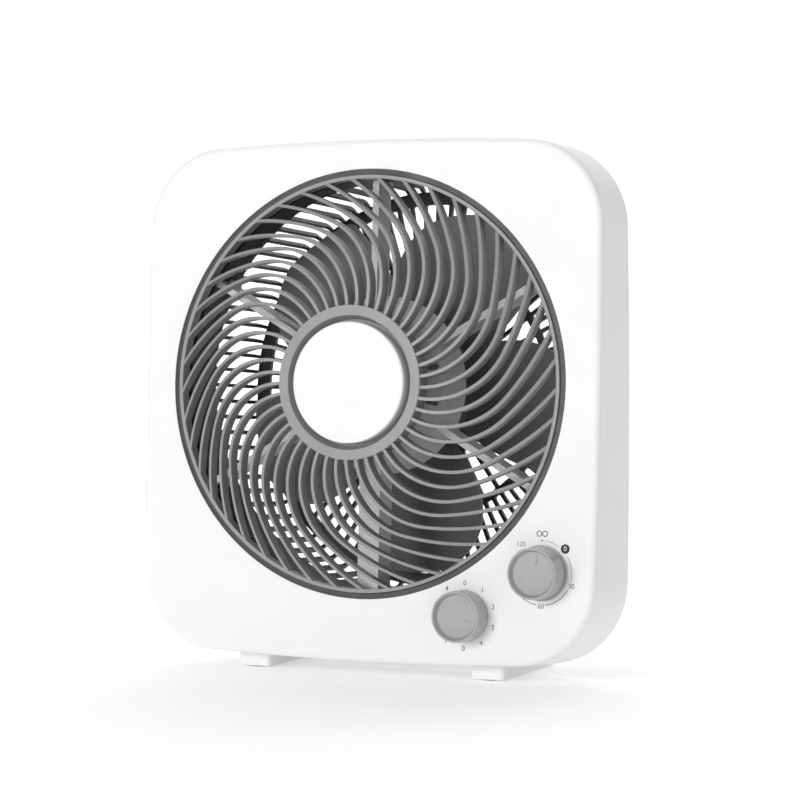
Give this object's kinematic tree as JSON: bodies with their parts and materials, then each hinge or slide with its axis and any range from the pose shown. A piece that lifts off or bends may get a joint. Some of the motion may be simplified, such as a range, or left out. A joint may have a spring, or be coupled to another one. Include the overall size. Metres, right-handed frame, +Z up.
{
  "type": "box fan",
  "caption": "Leaning white box fan with a turning spiral grille in a round opening, a bladed impeller behind it, a drum-shaped rear guard, a speed knob, a timer knob and two skid feet.",
  "frame": {"origin": "centre of the ground footprint: middle of the bounding box in X and Y, on the ground", "axes": "+X to the fan's right seen from the front, -Y the way the fan blows (the front), +Z up; the front face and the fan axis lean back 3 degrees"},
  "size_m": [0.3408, 0.1568, 0.3617],
  "materials": {
    "white_shell": "fine-textured white plastic, satin",
    "light_grey": "light grey plastic, satin",
    "bracket_grey": "pale grey plastic, satin",
    "dark_bezel": "near-black plastic, semi gloss",
    "dark_guard": "charcoal plastic, fine texture",
    "blade_grey": "dark grey moulded plastic",
    "cap_white": "white plastic, satin",
    "knob_grey": "mid grey plastic, polished sides",
    "shaft_steel": "ground steel",
    "lamination": "stacked electrical steel",
    "zinc_housing": "zinc-plated sheet",
    "copper_coil": "varnished copper winding",
    "bronze": "sintered bronze",
    "black_plastic": "black moulded plastic",
    "screw_zinc": "zinc-plated steel",
    "rubber_pad": "black rubber",
    "cream_plastic": "cream nylon",
    "capacitor_case": "resin-filled case",
    "wire_brown": "brown wire insulation",
    "wire_blue": "blue wire insulation",
    "rotor_alu": "cast rotor with steel laminations"
  },
  "bodies": {
    "housing": {"front_shell": "white_shell", "bezel_ring": "dark_bezel", "rear_panel": "white_shell", "panel_screws": "screw_zinc", "rear_guard": "dark_guard", "guard_screws": "screw_zinc", "grille_motor": "black_plastic", "grille_motor_screws": "screw_zinc", "motor_bracket": "bracket_grey", "duct_ring": "dark_guard", "bracket_screws": "screw_zinc", "motor_front_bell": "zinc_housing", "motor_rear_bell": "zinc_housing", "stator_core": "lamination", "stator_windings": "copper_coil", "motor_bearings": "bronze", "motor_screws": "screw_zinc", "speed_switch": "black_plastic", "switch_nut": "shaft_steel", "timer": "black_plastic", "timer_screws": "screw_zinc", "terminal_block": "cream_plastic", "capacitor": "capacitor_case", "cord_inlet": "black_plastic", "timer_wire": "wire_brown", "speed_wire": "wire_brown", "motor_wire": "wire_blue", "grille_motor_wire": "wire_blue", "capacitor_wire": "wire_brown", "foot_left": "white_shell", "foot_right": "white_shell", "foot_pads": "rubber_pad", "foot_screws": "screw_zinc"},
    "fan_wheel": {"impeller": "blade_grey", "impeller_nut": "black_plastic", "motor_shaft": "shaft_steel", "rotor_core": "rotor_alu"},
    "grille": {"louvre_grille": "light_grey", "hub_cap": "cap_white", "grille_shaft": "shaft_steel", "grille_clip": "black_plastic"},
    "speed_control": {"speed_knob": "knob_grey", "speed_spindle": "cream_plastic"},
    "timer_control": {"timer_knob": "knob_grey", "timer_spindle": "cream_plastic"}
  },
  "joints": [
    {"name": "fan_spin", "type": "hinge", "parent": "housing", "child": "fan_wheel", "pos_m": [0, 0.00935, 0.19365], "axis": [0, -0.9986, 0.0523], "continuous": true},
    {"name": "grille_spin", "type": "hinge", "parent": "housing", "child": "grille", "pos_m": [0, -0.06056, 0.19732], "axis": [0, -0.9986, 0.0523], "continuous": true},
    {"name": "speed_turn", "type": "hinge", "parent": "housing", "child": "speed_control", "pos_m": [0.0767, -0.05856, 0.0443], "axis": [0, -0.9986, 0.0523], "range_deg": [-216, 108]},
    {"name": "timer_turn", "type": "hinge", "parent": "housing", "child": "timer_control", "pos_m": [0.1307, -0.05697, 0.07466], "axis": [0, -0.9986, 0.0523], "range_deg": [-297, 18]}
  ]
}
